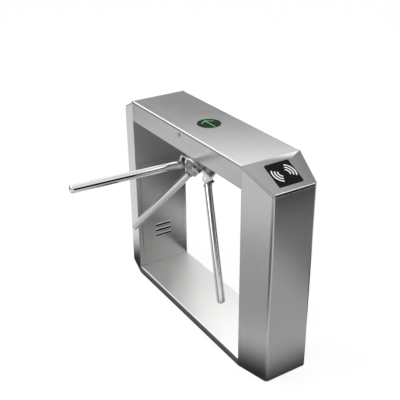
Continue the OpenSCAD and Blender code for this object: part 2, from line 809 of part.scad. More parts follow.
// Drum of the hub: front rim, groove and body, turned about the axis
module hub() color("silver") difference() {
  on_axis() rotate_extrude($fn = 2 * round_fn) polygon([
    [spigot_r + seat_fit, -hub_face], [hub_r - rim_chamfer, -hub_face], [hub_r, -hub_face + rim_chamfer],
    [hub_r, -hub_face + rim_t], [hub_r - groove_d, -hub_face + rim_t],
    [hub_r - groove_d, -hub_face + rim_t + groove_t], [hub_r, -hub_face + rim_t + groove_t],
    [hub_r, -hub_back], [hub_r - 6, -hub_back], [hub_r - 6, -hub_back - pocket_d],
    [shaft_r + 12, -hub_back - pocket_d], [shaft_r + 12, -hub_back], [spigot_r + seat_fit, -hub_back]]);
  at_bracket_screws() translate([0, 0, -over]) rod(bolt_hole, far / 40);
}

module hub_nut() color("dimgray") on_axis() translate([0, 0, -hub_face - nut_t]) difference() {
  cylinder(r = spigot_r + 4, h = nut_t, $fn = 6);
  translate([0, 0, -over]) rod(thread_r + seat_fit, nut_t + 2 * over);
}

// Domed cap over the nut
module hub_cap() color("silver") on_axis() rotate([180, 0, 0]) translate([0, 0, hub_face])
  rotate_extrude($fn = round_fn)
  difference() {
    union() {
      square([cap_r, cap_h - cap_r / 2]);
      intersection() {
        translate([0, cap_h - cap_r * 1.25]) circle(r = cap_r * 1.25, $fn = round_fn);
        square([cap_r, cap_h]);
      }
    }
    translate([-over, -over]) square([cap_r - cap_wall + over, cap_h - cap_r / 2 + over]);
    translate([-cap_r, -cap_h]) square([cap_r, 3 * cap_h]);
  }

module lock_disc() color("gray") on_axis() translate([0, 0, disc_z]) difference() {
  tube(lock_disc_r, gear_seat_r + seat_fit, disc_t);
  for (k = [0:lock_notches - 1]) rotate([0, 0, 180 + k * 360 / lock_notches])
    span([lock_disc_r - notch_d, -bolt_pin_r - 1, -over], [far, bolt_pin_r + 1, disc_t + over]);
}

// Involute spur gear outline; each flank has points at its foot, its pitch circle and its tip
pressure = 20;
backlash = 0.12;
function involute(a) = tan(a) * 180 / PI - a;
function flank_a(n, r) =
  let (rp = gear_m * n / 2, a = acos(min(1, rp * cos(pressure) / r)))
  90 / n - backlash / rp * 90 / PI + involute(pressure) - involute(a);
function polar(r, a) = [r * cos(a), r * sin(a)];
function tooth(n, c) =
  let (rp = gear_m * n / 2, foot = rp - 1.25 * gear_m, tip = rp + 0.95 * gear_m,
       start = max(foot, rp * cos(pressure)),
       rs = [foot, start + 0.01, (start + rp) / 2, rp, (rp + tip) / 2, tip])
  concat([for (r = rs) polar(r, c - flank_a(n, max(r, start + 0.01)))],
         [for (i = [len(rs) - 1:-1:0]) polar(rs[i], c + flank_a(n, max(rs[i], start + 0.01)))]);

module spur(n, t, phase) linear_extrude(t)
  polygon([for (k = [0:n - 1]) each tooth(n, phase + k * 360 / n)]);

module drive_gear() color("goldenrod") on_axis() translate([0, 0, gear_z]) difference() {
  spur(gear_n, gear_t, 0);
  translate([0, 0, -over]) rod(gear_seat_r + seat_fit, gear_t + 2 * over);
  for (k = [0:5])
    rotate([0, 0, 30 + k * 60]) translate([gear_r * 0.62, 0, -over]) rod(gear_r * 0.18, gear_t + 2 * over);
}

module motor_pinion() color("gray") on_axis() translate([motor_x, 0, gear_z - over]) {
  spur(pinion_n, gear_t + 2 * over, 180 + 180 / pinion_n);
  rod(motor_shaft_r, plate_z + plate_t + motor_h - 2 - gear_z);
}

module drive_plate() color("silver") on_axis() translate([0, 0, plate_z]) difference() {
  span([-post_x - plate_over, -plate_w / 2, 0], [post_x + plate_over, plate_w / 2, plate_t]);
  translate([0, 0, -over]) rod(gear_seat_r + 3, plate_t + 2 * over);
  translate([motor_x, 0, -over]) rod(motor_shaft_r + 2, plate_t + 2 * over);
}

module drive_motor() color("dimgray") on_axis() translate([motor_x, 0, plate_z + plate_t]) difference() {
  union() {
    rod(motor_r, motor_h - 3);
    rod(motor_r - 3, motor_h);
  }
  translate([0, 0, -over]) rod(motor_shaft_r + run_fit, motor_h - 1);
}

module encoder_disc() color("dimgray") on_axis() translate([0, 0, encoder_z]) difference() {
  tube(encoder_r, encoder_seat_r + seat_fit, encoder_t);
  for (k = [0:11])
    rotate([0, 0, k * 30]) span([encoder_r - 6, -1.5, -over], [encoder_r - 2, 1.5, encoder_t + over]);
}

// Fork light barrier that the encoder disc turns through
module encoder_sensor() color("black")
on_axis() translate([0, -encoder_r - 4, plate_z + plate_t]) difference() {
  span([-8, -4, 0], [8, 12, 14]);
  translate([0, 0, encoder_z - plate_z - plate_t]) span([-far, -1, -1.5], [far, far, encoder_t + 1.5]);
}

module lock_solenoid() color("darkorange")
on_axis() translate([-coil_in, 0, disc_z + disc_t / 2]) difference() {
  span([-coil_l, -coil_w / 2, -coil_w / 2], [0, coil_w / 2, coil_w / 2]);
  translate([-coil_l + 1, 0, 0]) rotate([0, 90, 0]) rod(bolt_pin_r + run_fit, far);
}

module lock_bolt() color("silver") on_axis() translate([-lock_disc_r - bolt_gap, 0, disc_z + disc_t / 2])
  rotate([0, -90, 0]) rod(bolt_pin_r, coil_in + coil_l - lock_disc_r - bolt_gap - 2);

/* ---- Arms ---- */

module at_pivot(i) at_arm(i) translate([pivot_r, 0, pivot_t]) children();
module across(r, l) rotate([90, 0, 0]) translate([0, 0, -l / 2]) rod(r, l);
module at_bracket_screws() for (i = [0:2], s = [-1, 1])
  at_arm(i) translate([screw_x, s * screw_y, hub_back + pocket_d]) children();

// A clevis on the hub's face: two round cheeks on a foot, open to the front for the arm's tongue
module arm_bracket(i) difference() {
  at_arm(i) union() {
    span([bracket_in, -bracket_w / 2, hub_face], [bracket_out, bracket_w / 2, hub_face + foot_h]);
    span([pivot_r - cheek_r, -bracket_w / 2, hub_face], [pivot_r + cheek_r, bracket_w / 2, pivot_t]);
    intersection() {
      translate([pivot_r, 0, pivot_t]) across(cheek_r, bracket_w);
      span([0, -far, hub_face], [far, far, far]);
    }
  }
  at_arm(i) span([0, -slot_w / 2, slot_floor], [far, slot_w / 2, far]);
  at_pivot(i) across(pin_r + seat_fit, far);
  at_arm(i) for (s = [-1, 1])
    translate([screw_x, s * screw_y, hub_face - over]) rod(bolt_r + seat_fit, screw_reach + over + 0.5);
  at_pivot(i) translate([0, -bracket_w / 2 - over, detent_up])
    rotate([-90, 0, 0]) rod(detent_r + seat_fit, bracket_w / 2 + over);
}

module arm_brackets() color("silver") for (i = [0:2]) arm_bracket(i);

module bracket_screws() color("dimgray") at_bracket_screws() {
  translate([0, 0, -screw_head_t]) rod(screw_head_r, screw_head_t);
  rod(bolt_r, hub_face + screw_reach - hub_back - pocket_d);
}

module pivot_pins() color("gainsboro") for (i = [0:2]) at_pivot(i) {
  across(pin_r, bracket_w + 0.2);
  for (s = [-1, 1]) translate([0, s * (bracket_w / 2 + head_t / 2 + 0.1), 0]) across(head_r, head_t);
}

// Spring plungers in the cheeks that hold each arm until it is pushed or released to drop
module arm_detents() color("dimgray") for (i = [0:2]) at_pivot(i)
  translate([0, -bracket_w / 2 - 1, detent_up]) rotate([-90, 0, 0]) {
    rod(detent_r, bracket_w / 2 + 1 - tongue_t / 2 - 1);
    translate([0, 0, bracket_w / 2 - tongue_t / 2]) sphere(r = 0.7, $fn = 32);
  }

module arm_root(i) color("silver") difference() {
  along_arm(i) union() {
    translate([0, 0, pivot_s]) across(eye_r, tongue_t);
    span([-eye_r, -tongue_t / 2, pivot_s], [eye_r, tongue_t / 2, collar_s + over]);
    translate([0, 0, collar_s]) rod(collar_r, collar_l);
    translate([0, 0, tube_s - over]) rod(arm_r - arm_wall - seat_fit, root_plug_l + over);
  }
  along_arm(i) translate([0, 0, pivot_s]) across(pin_r + run_fit, far);
}

module arm_tube(i) color("gainsboro") along_arm(i) translate([0, 0, tube_s])
  tube(arm_r, arm_r - arm_wall, tube_e - tube_s);

// End cap: a short plug inside the tube and a rounded nose of the tube's own radius
module arm_cap(i) color("silver") along_arm(i) translate([0, 0, tube_e]) {
  translate([0, 0, -cap_plug_l]) rod(arm_r - arm_wall - seat_fit, cap_plug_l + over);
  rotate_extrude($fn = round_fn) intersection() {
    union() {
      square([arm_r, cap_l - dome_h]);
      translate([0, cap_l - dome_h]) intersection() {
        translate([0, dome_h - dome_r]) circle(r = dome_r, $fn = 2 * round_fn);
        square([arm_r, dome_h]);
      }
    }
    square([arm_r, cap_l]);
  }
}

module arm_root_1() arm_root(0);
module arm_root_2() arm_root(1);
module arm_root_3() arm_root(2);
module arm_tube_1() arm_tube(0);
module arm_tube_2() arm_tube(1);
module arm_tube_3() arm_tube(2);
module arm_cap_1() arm_cap(0);
module arm_cap_2() arm_cap(1);
module arm_cap_3() arm_cap(2);

base_tray();
near_leg_shell();
far_leg_shell();
foot_plates();
bridge_beam();
frame_bolts();
lid();
near_leg_front();
far_leg_front();
hinge_pins();
lid_strike();
lid_lock_barrel();
lid_lock_plug();
indicator_lens();
indicator_board();
arrow_lamps();
reader_plate();
reader_module();
near_door();
far_door();
near_door_lock_barrel();
near_door_lock_plug();
far_door_lock_barrel();
far_door_lock_plug();
conduit_grommets();
power_supply();
control_board();
board_standoffs();
counter_case();
counter_reset_button();
chassis();
bearing_outer_rings();
bearing_balls();
bearing_inner_rings();
main_shaft();
hub();
hub_nut();
hub_cap();
lock_disc();
drive_gear();
encoder_disc();
encoder_sensor();
drive_plate();
drive_motor();
motor_pinion();
lock_solenoid();
lock_bolt();
arm_brackets();
bracket_screws();
pivot_pins();
arm_detents();
arm_root_1();
arm_root_2();
arm_root_3();
arm_tube_1();
arm_tube_2();
arm_tube_3();
arm_cap_1();
arm_cap_2();
arm_cap_3();
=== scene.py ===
"""Looks of a tripod turnstile: brushed stainless cabinet, polished arms, indicator and card reader."""

import json
import math

import bmesh
import bpy
from mathutils import Matrix, Vector

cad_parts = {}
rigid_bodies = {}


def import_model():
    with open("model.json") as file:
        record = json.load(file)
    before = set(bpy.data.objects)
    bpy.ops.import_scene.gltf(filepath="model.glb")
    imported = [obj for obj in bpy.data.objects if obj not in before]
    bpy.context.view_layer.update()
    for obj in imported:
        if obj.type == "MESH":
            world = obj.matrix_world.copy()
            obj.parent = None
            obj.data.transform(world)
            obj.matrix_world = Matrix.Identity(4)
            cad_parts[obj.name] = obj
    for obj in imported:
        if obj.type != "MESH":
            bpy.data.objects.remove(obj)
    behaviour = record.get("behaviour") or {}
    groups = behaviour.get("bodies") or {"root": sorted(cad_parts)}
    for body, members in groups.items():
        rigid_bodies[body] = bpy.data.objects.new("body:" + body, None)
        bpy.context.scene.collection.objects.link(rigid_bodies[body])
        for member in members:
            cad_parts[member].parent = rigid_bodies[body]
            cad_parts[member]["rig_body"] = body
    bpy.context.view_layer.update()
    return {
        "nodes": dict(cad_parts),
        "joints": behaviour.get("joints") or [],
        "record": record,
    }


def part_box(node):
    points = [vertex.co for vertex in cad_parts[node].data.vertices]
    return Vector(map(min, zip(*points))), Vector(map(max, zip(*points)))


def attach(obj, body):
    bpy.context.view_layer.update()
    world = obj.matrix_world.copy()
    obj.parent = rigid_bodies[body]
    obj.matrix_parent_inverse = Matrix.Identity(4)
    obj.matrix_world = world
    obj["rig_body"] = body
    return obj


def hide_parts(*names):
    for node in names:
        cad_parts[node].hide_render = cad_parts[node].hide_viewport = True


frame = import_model()
MM = 0.001

bl_info = {
    "name": "Tripod Turnstile Looks",
    "version": (1, 0, 0),
    "blender": (4, 5, 0),
    "location": "3D View > Sidebar > Turnstile",
    "description": "Dresses the turnstile's solids with rounded sheet edges, turned parts and metal finishes",
    "category": "Object",
}


# ---------------------------------------------------------------- settings

class TurnstileSizes(bpy.types.PropertyGroup):
    """Sizes that only the looks use. The solids keep all others."""

    panel_round: bpy.props.FloatProperty(
        name="Panel edge rounding",
        description="Rounding of the folds between the sloped ends and their hems, and along the base tray",
        default=0.005, min=0.001, max=0.01, unit="LENGTH")
    sheet_round: bpy.props.FloatProperty(
        name="Sheet edge rounding", description="Rounding of the cut edges of the sheet",
        default=0.0006, min=0.0001, max=0.001, unit="LENGTH")
    rolled_edge: bpy.props.FloatProperty(
        name="Rolled edge", description="Rounding of the edges that stand under the lid and round the doors",
        default=0.0012, min=0.0005, max=0.003, unit="LENGTH")
    cast_round: bpy.props.FloatProperty(
        name="Casting edge rounding", description="Rounding of the edges of the cast hub pieces",
        default=0.0011, min=0.0002, max=0.003, unit="LENGTH")
    grain_pitch: bpy.props.FloatProperty(
        name="Grain pitch", description="Width of one line of the brushed grain",
        default=0.0022, min=0.0005, max=0.01, unit="LENGTH")
    grain_length: bpy.props.FloatProperty(
        name="Grain length", description="Length of one line of the brushed grain",
        default=0.35, min=0.05, max=1.0, unit="LENGTH")
    arc_pitch: bpy.props.FloatProperty(
        name="Arc pitch", description="Distance between the printed arcs of the reader plate",
        default=0.0125, min=0.003, max=0.015, unit="LENGTH")


class TurnstileColours(bpy.types.PropertyGroup):
    """Colours of the finishes."""

    sheet: bpy.props.FloatVectorProperty(
        name="Stainless sheet", description="Brushed sheet of the cabinet", subtype="COLOR",
        default=(0.47, 0.47, 0.465), min=0, max=1)
    tube: bpy.props.FloatVectorProperty(
        name="Polished tube", description="Tubes of the arms", subtype="COLOR",
        default=(0.72, 0.72, 0.72), min=0, max=1)
    cast: bpy.props.FloatVectorProperty(
        name="Hub alloy", description="Cast and turned hub pieces", subtype="COLOR",
        default=(0.5, 0.5, 0.49), min=0, max=1)
    arrow: bpy.props.FloatVectorProperty(
        name="Arrow light", description="Lamps of the direction arrow", subtype="COLOR",
        default=(0.04, 0.42, 0.08), min=0, max=1)
    print_white: bpy.props.FloatVectorProperty(
        name="Print", description="Printed arcs on the reader plate", subtype="COLOR",
        default=(0.8, 0.8, 0.8), min=0, max=1)
    floor: bpy.props.FloatVectorProperty(
        name="Floor", description="Studio floor and backdrop", subtype="COLOR",
        default=(0.95, 0.95, 0.95), min=0, max=1)


# ---------------------------------------------------------------- shader maths

class Wire:
    """An output of a shader node that takes part in arithmetic."""

    def __init__(self, graph, socket):
        self.graph = graph
        self.socket = socket

    def maths(self, operation, *values, clamp=False):
        return self.graph.add("ShaderNodeMath", {"operation": operation, "use_clamp": clamp},
                              dict(enumerate(values)))

    def __add__(self, other):
        return self.maths("ADD", self, other)

    def __sub__(self, other):
        return self.maths("SUBTRACT", self, other)

    def __rsub__(self, other):
        return self.maths("SUBTRACT", other, self)

    def __mul__(self, other):
        return self.maths("MULTIPLY", self, other)

    def __truediv__(self, other):
        return self.maths("DIVIDE", self, other)

    def __gt__(self, other):
        return self.maths("GREATER_THAN", self, other)

    def __lt__(self, other):
        return self.maths("LESS_THAN", self, other)

    __radd__ = __add__
    __rmul__ = __mul__

    def power(self, other):
        return self.maths("POWER", self, other)

    def size(self):
        return self.maths("ABSOLUTE", self)

    def clamp(self):
        return self.maths("ADD", self, 0.0, clamp=True)

    def between(self, low, high):
        """0 below low, 1 above high, smooth in between."""
        return self.graph.add("ShaderNodeMapRange", {"interpolation_type": "SMOOTHSTEP"},
                              {"Value": self, "From Min": low, "From Max": high})


class Graph:
    """The node tree of one finish."""

    def __init__(self, name, colour=(0.5, 0.5, 0.5)):
        self.material = bpy.data.materials.new(name)
        self.material.use_nodes = True
        self.material.diffuse_color = (*colour, 1)
        self.tree = self.material.node_tree
        self.tree.nodes.clear()

    def add(self, kind, settings=None, inputs=None, output=0):
        node = self.tree.nodes.new(kind)
        for key, value in (settings or {}).items():
            setattr(node, key, value)
        for key, value in (inputs or {}).items():
            if isinstance(value, Wire):
                self.tree.links.new(value.socket, node.inputs[key])
            else:
                node.inputs[key].default_value = value
        return Wire(self, node.outputs[output]) if node.outputs else None

    def coords(self):
        return self.add("ShaderNodeTexCoord", output="Object")

    def normal(self):
        return self.add("ShaderNodeNewGeometry", output="Normal")

    def mapped(self, vector, place=(0, 0, 0), turn=(0, 0, 0), scale=(1, 1, 1)):
        """Coordinates scaled, then turned, then moved."""
        return self.add("ShaderNodeMapping", {"vector_type": "POINT"},
                        {"Vector": vector, "Location": place, "Rotation": turn, "Scale": scale})

    def parts(self, vector):
        """The X, Y and Z of a vector."""
        node = self.add("ShaderNodeSeparateXYZ", inputs={"Vector": vector}).socket.node
        return [Wire(self, node.outputs[i]) for i in range(3)]

    def noise(self, vector, scale, detail=3.0, rough=0.55, distortion=0.0):
        return self.add("ShaderNodeTexNoise", inputs={
            "Vector": vector, "Scale": scale, "Detail": detail, "Roughness": rough, "Distortion": distortion})

    def blend(self, factor, first, second, kind="RGBA"):
        """Mix of two colours or two vectors. The node keeps one set of sockets for each kind."""
        low, high, mixed = {"RGBA": (6, 7, 2), "VECTOR": (4, 5, 1)}[kind]

        def padded(value):
            return (*value, 1) if kind == "RGBA" and isinstance(value, tuple) else value

        return self.add("ShaderNodeMix", {"data_type": kind, "clamp_factor": True},
                        {0: factor, low: padded(first), high: padded(second)}, mixed)

    def shade(self, colour, amount):
        """Colour made darker or lighter by a number that varies over the surface."""
        return self.add("ShaderNodeVectorMath", {"operation": "SCALE"}, {0: colour, "Scale": amount})

    def bump(self, height, strength, depth):
        return self.add("ShaderNodeBump", inputs={"Height": height, "Strength": strength, "Distance": depth})

    def surface(self, **sockets):
        names = {"colour": "Base Color", "rough": "Roughness", "metal": "Metallic", "normal": "Normal",
                 "coat": "Coat Weight", "coat_rough": "Coat Roughness", "glow": "Emission Color",
                 "glow_strength": "Emission Strength", "specular": "Specular IOR Level"}
        inputs = {names[k]: (*v, 1) if isinstance(v, tuple) else v for k, v in sockets.items()}
        return self.add("ShaderNodeBsdfPrincipled", inputs=inputs)

    def finish(self, shader):
        self.add("ShaderNodeOutputMaterial", inputs={"Surface": shader})
        return self.material


def sizes():
    """The scene's settings for sizes."""
    return bpy.context.scene.turnstile_sizes


def colours():
    """The scene's settings for colours."""
    return bpy.context.scene.turnstile_colours


# ---------------------------------------------------------------- finishes

def brushed_sheet(name, upright=False, tone=1.0, rough=0.22):
    """Brushed stainless sheet. The grain runs along X, or up the legs and down their slopes. A tone above 1
    makes a lighter copy of the sheet, which paints light into its colour.
    """
    base = tuple(c * tone for c in colours().sheet)
    g = Graph(name, base)
    p = g.coords()
    fine, long = 1 / sizes().grain_pitch, 1 / sizes().grain_length
    if upright:
        up = g.parts(g.normal())[2].size().between(0.35, 0.6)
        stretch = g.blend(up, (fine, fine, long), (long, fine, long), "VECTOR")
        grain_at = g.add("ShaderNodeVectorMath", {"operation": "MULTIPLY"}, {0: p, 1: stretch})
    else:
        grain_at = g.mapped(p, scale=(long, fine, fine))
    grain = g.noise(grain_at, 1.0, 4.0, 0.65)
    streak = g.noise(g.mapped(grain_at, scale=(0.2, 0.2, 0.2)), 1.0, 2.0, 0.5)
    smudge = g.noise(p, 3.2, 3.0, 0.6, 0.4)
    amount = 0.9 + grain * 0.11 + streak * 0.06 + smudge * 0.05
    return g.finish(g.surface(
        colour=g.shade(base, amount), metal=1.0,
        rough=rough - 0.07 + grain * 0.12 + smudge * 0.06,
        normal=g.bump(grain, 0.12, 0.00006)))


def polished_tube(name):
    """Polished stainless tube with the faint rings that a polishing belt leaves."""
    base = tuple(colours().tube)
    g = Graph(name, base)
    p = g.coords()
    haze = g.noise(p, 22.0, 3.0, 0.6)
    scuff = g.noise(g.mapped(p, turn=(0.6, 0.3, 0.9), scale=(900, 60, 900)), 1.0, 2.0, 0.6)
    return g.finish(g.surface(
        colour=g.shade(base, 0.94 + haze * 0.08), metal=1.0,
        rough=0.02 + haze * 0.03 + scuff * 0.02,
        normal=g.bump(scuff, 0.05, 0.00004)))


def satin_metal(name, base, rough=0.3, spread=0.12, scale=70.0, bump=0.08, metal=1.0, coat=0.0):
    """Cast, turned or plated metal with a fine even tooth and faint cloudiness."""
    g = Graph(name, base)
    p = g.coords()
    cloud = g.noise(p, scale * 0.25, 3.0, 0.6, 0.3)
    tooth = g.noise(p, scale * 22, 2.0, 0.5)
    return g.finish(g.surface(
        colour=g.shade(base, 0.88 + cloud * 0.2), metal=metal, coat=coat,
        rough=rough - spread / 2 + cloud * spread + tooth * 0.04,
        normal=g.bump(tooth, bump, 0.0001)))


def spangled_zinc(name, base):
    """Galvanised steel with its flat crystals."""
    g = Graph(name, base)
    p = g.coords()
    flake = g.add("ShaderNodeTexVoronoi", {"feature": "F1"}, {"Vector": p, "Scale": 90.0}, "Color")
    value = g.parts(flake)[0]
    grime = g.noise(p, 14.0, 4.0, 0.6)
    return g.finish(g.surface(
        colour=g.shade(base, 0.78 + value * 0.3 + grime * 0.1), metal=1.0,
        rough=0.38 + value * 0.15, normal=g.bump(value, 0.05, 0.0001)))


def moulded(name, base, rough=0.3, grain=0.1, coat=0.0, scale=900.0):
    """Moulded plastic or rubber with a fine texture and a few dull patches."""
    g = Graph(name, base)
    p = g.coords()
    pit = g.noise(p, scale, 2.0, 0.5)
    patch = g.noise(p, 25.0, 3.0, 0.6)
    return g.finish(g.surface(
        colour=g.shade(base, 0.85 + patch * 0.3), coat=coat, coat_rough=0.05,
        rough=rough - 0.05 + patch * 0.12, normal=g.bump(pit, grain, 0.0001)))


def circuit_green(name):
    """Solder mask over copper tracks, which show on the board's two broad faces."""
    base = (0.02, 0.13, 0.06)
    g = Graph(name, base)
    p = g.coords()
    track = g.add("ShaderNodeTexBrick", {"offset": 0.5, "squash": 1.0}, {
        "Vector": g.mapped(p, scale=(60, 60, 60)), "Scale": 6.0, "Mortar Size": 0.06,
        "Color1": (0, 0, 0, 1), "Color2": (0.25, 0.25, 0.25, 1), "Mortar": (1, 1, 1, 1)})
    line = g.parts(track)[0]
    dust = g.noise(p, 40.0, 3.0, 0.6)
    broad = g.parts(g.normal())[2].size().between(0.5, 0.9)
    return g.finish(g.surface(
        colour=g.blend(line * broad, base, (0.04, 0.24, 0.11)), rough=0.28 + dust * 0.15,
        coat=0.3, normal=g.bump(line, 0.15, 0.0001)))


def lens_black(name):
    """Smoked cover of the indicator: deep gloss black with the unlit lamps just showing through."""
    g = Graph(name, (0.01, 0.01, 0.01))
    p = g.coords()
    pitch, dot_inner, dot_outer, field = 5.1 * MM, 1.3 * MM, 1.9 * MM, 45.5 * MM
    grid = g.add("ShaderNodeVectorMath", {"operation": "MODULO"}, {
        0: g.mapped(p, place=(1, 1, 0)), 1: (pitch, pitch, 1)})
    x, y = g.parts(grid)[:2]
    away = g.add("ShaderNodeVectorMath", {"operation": "LENGTH"}, {
        0: g.add("ShaderNodeCombineXYZ", inputs={0: x - pitch / 2, 1: y - pitch / 2, 2: 0.0})}, "Value")
    across, deep = g.parts(p)[:2]
    radius = (across * across + deep * deep).power(0.5)
    dot = (1 - away.between(dot_inner, dot_outer)) * (radius < field)
    swirl = g.noise(p, 60.0, 3.0, 0.6)
    return g.finish(g.surface(
        colour=g.blend(dot, (0.003, 0.003, 0.003), (0.006, 0.01, 0.007)), specular=0.05,
        rough=0.3 + swirl * 0.08, normal=g.bump(swirl, 0.02, 0.0001)))


def lamp_green(name):
    """Lit lamp, brighter in its middle."""
    base = tuple(colours().arrow)
    g = Graph(name, base)
    grain = g.noise(g.coords(), 700.0, 2.0)
    facing = g.add("ShaderNodeLayerWeight", inputs={"Blend": 0.4}, output="Facing")
    return g.finish(g.surface(
        colour=base, rough=0.25 + grain * 0.1, coat=0.2,
        glow=g.blend(facing, (0.07, 0.62, 0.1), base), glow_strength=0.8))


def reader_print(name, slope, place):
    """Black reader plate with two printed fans of arcs, one on each side of its middle."""
    base = (0.006, 0.006, 0.007)
    pitch = sizes().arc_pitch
    line_half = 0.2
    first_arc, last_arc = pitch * 1.0, pitch * 3.7
    lean, half_fan = math.radians(20), math.radians(48)
    printed_above = 2.6 * MM
    g = Graph(name, base)
    p = g.coords()
    local = g.mapped(g.add("ShaderNodeVectorMath", {"operation": "SUBTRACT"}, {0: p, 1: place}),
                     turn=(0, -slope, 0))
    u, v, height = g.parts(local)
    fans = []
    for side in (-1, 1):
        du, dv = u - side * 4 * MM, v - side * 6 * MM
        radius = (du * du + dv * dv).power(0.5)
        arcs = radius / pitch
        ring = (arcs.maths("FRACT", arcs) - 0.5).size() < line_half
        reach = (radius > first_arc) * (radius < last_arc)
        along = dv * (side * math.cos(lean)) - du * (side * math.sin(lean))
        fan = (along / radius.maths("MAXIMUM", radius, 0.1 * MM)) > math.cos(half_fan)
        fans.append(ring * reach * fan)
    ink = fans[0].maths("MAXIMUM", *fans) * (height > printed_above)
    haze = g.noise(p, 45.0, 3.0, 0.6)
    return g.finish(g.surface(
        colour=g.blend(ink, base, tuple(colours().print_white)), specular=0.05,
        rough=0.4 + haze * 0.12, normal=g.bump(haze, 0.03, 0.0001)))


def floor_white(name):
    """Pale studio floor: shows as white to the camera and in gloss, and still takes a soft shadow."""
    base = tuple(colours().floor)
    glow_share = 0.85
    g = Graph(name, base)
    grain = g.noise(g.coords(), 1.4, 3.0, 0.5)
    rays = g.add("ShaderNodeLightPath", output="Is Camera Ray")
    gloss = g.add("ShaderNodeLightPath", output="Is Glossy Ray")
    through = g.add("ShaderNodeLightPath", output="Is Transmission Ray")
    seen = (rays + gloss + through).clamp()
    matt = g.add("ShaderNodeBsdfDiffuse", inputs={"Color": g.shade(base, 0.99 + grain * 0.02)})
    glow = g.add("ShaderNodeEmission", inputs={"Color": (1, 1, 1, 1), "Strength": 1.0})
    return g.finish(g.add("ShaderNodeMixShader", inputs={0: seen * glow_share, 1: matt, 2: glow}))


def studio_card(name, tone, soft_u, soft_v):
    """A card that the metal reflects, with soft edges. Its UV map runs from 0 to 1."""
    g = Graph(name, (tone, tone, tone))
    u, v = g.parts(g.add("ShaderNodeTexCoord", output="UV"))[:2]

    def fade(along, soft):
        return along.between(0.0, soft) * (1 - along.between(1 - soft, 1.0))

    mask = fade(u, soft_u) * fade(v, soft_v)
    glow = g.add("ShaderNodeEmission", inputs={"Color": (tone, tone, tone, 1), "Strength": 1.0})
    clear = g.add("ShaderNodeBsdfTransparent")
    return g.finish(g.add("ShaderNodeMixShader", inputs={0: mask, 1: clear, 2: glow}))


# ---------------------------------------------------------------- geometry

def finish_of(slot):
    """The finish that the solids of a material slot wear."""
    return bpy.data.materials[slot + "_finish"]


def edges_of(bm, angle):
    """Edges whose two faces meet at more than the angle, in degrees."""
    limit = math.radians(angle)
    return [e for e in bm.edges if len(e.link_faces) == 2 and e.calc_face_angle(0) > limit]


def merged_copy(node):
    """The solid of a node as a clean mesh: welded, with flat faces in one piece."""
    bm = bmesh.new()
    bm.from_mesh(frame["nodes"][node].data)
    bmesh.ops.remove_doubles(bm, verts=bm.verts, dist=2e-6)
    bmesh.ops.dissolve_limit(bm, angle_limit=math.radians(0.4), use_dissolve_boundaries=False,
                             verts=bm.verts, edges=bm.edges, delimit={"NORMAL"})
    return bm


def rounded(bm, edges, width, segments=3, clamp=True):
    """Rounds the edges. With clamp off, a rounding may take the whole of a narrow face."""
    if edges:
        bmesh.ops.bevel(bm, geom=edges, offset=width, offset_type="OFFSET", segments=segments, profile=0.5,
                        affect="EDGES", clamp_overlap=clamp, material=-1)


def piece(name, bm, material, body, node=None, slot=None, smooth=32):
    """Makes a finished piece from a mesh, places it on its body and lets it stand for its solid."""
    mesh = bpy.data.meshes.new(name)
    bm.to_mesh(mesh)
    bm.free()
    mesh.shade_smooth()
    mesh.set_sharp_from_angle(angle=math.radians(smooth))
    obj = bpy.data.objects.new(name, mesh)
    bpy.context.scene.collection.objects.link(obj)
    mesh.materials.append(material)
    even = obj.modifiers.new("even_shading", "WEIGHTED_NORMAL")
    even.keep_sharp = True
    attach(obj, body)
    if node:
        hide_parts(node)
    return obj


def body_of(node):
    """Name of the body that carries a node."""
    return frame["nodes"][node]["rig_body"]


def slot_of(node):
    """Material slot that the record gives a node."""
    return next(s["material_slot"] for s in frame["record"]["subparts"] if s["node"] == node)


def softened(node, material, width, segments=3, angle=28, smooth=32, first=None):
    """A node's shape with its edges rounded, as a piece that stands for the node."""
    bm = merged_copy(node)
    if first:
        first(bm)
    rounded(bm, edges_of(bm, angle), width, segments)
    return piece("dressed_" + node, bm, material, body_of(node), node, slot_of(node), smooth)


def turned(profile, matrix, steps=96):
    """A closed outline of (radius, height) spun into a turned piece."""
    bm = bmesh.new()
    verts = [bm.verts.new((r, 0, z)) for r, z in profile]
    edges = [bm.edges.new((a, b)) for a, b in zip(verts, verts[1:] + verts[:1])
             if (a.co - b.co).length > 1e-7]
    bmesh.ops.spin(bm, geom=verts + edges, cent=(0, 0, 0), axis=(0, 0, 1), angle=2 * math.pi, steps=steps,
                   use_merge=True, use_duplicate=False)
    bmesh.ops.remove_doubles(bm, verts=bm.verts, dist=1e-6)
    bmesh.ops.recalc_face_normals(bm, faces=bm.faces)
    bmesh.ops.transform(bm, matrix=matrix, verts=bm.verts)
    return bm


def joint_place(name):
    """Point that a joint turns about."""
    return Vector(next(j for j in frame["joints"] if j["name"] == name)["pos_m"])


def apex_frame(origin, along):
    """Frame at a point with its Z along the given direction."""
    return Matrix.Translation(origin) @ along.to_track_quat("Z", "Y").to_matrix().to_4x4()


def slope_folds(bm, width):
    """Rounds the folds between the sloped ends and their hems."""
    folds = []
    for edge in edges_of(bm, 12):
        outward = all(f.calc_center_median().dot(f.normal) > 0 for f in edge.link_faces)
        a, b = (f.normal for f in edge.link_faces)
        if edge.is_convex and outward and any(
                slope.z > 0.8 and abs(slope.x) > 0.3 and abs(hem.z) < 0.1 and hem.dot(edge.verts[0].co) > 0.1
                for slope, hem in ((a, b), (b, a))):
            folds.append(edge)
    rounded(bm, folds, width, 5, False)


def long_rims(bm, width):
    """Rolls the long upper edges on both sides."""
    side = max(-v.co.y for v in bm.verts)
    rims = [e for e in edges_of(bm, 60) if e.is_convex and e.calc_length() > 100 * MM
            and all(abs(abs(v.co.y) - side) < 0.3 * MM for v in e.verts)
            and any(f.normal.z > 0.9 for f in e.link_faces)]
    rounded(bm, rims, width, 4)


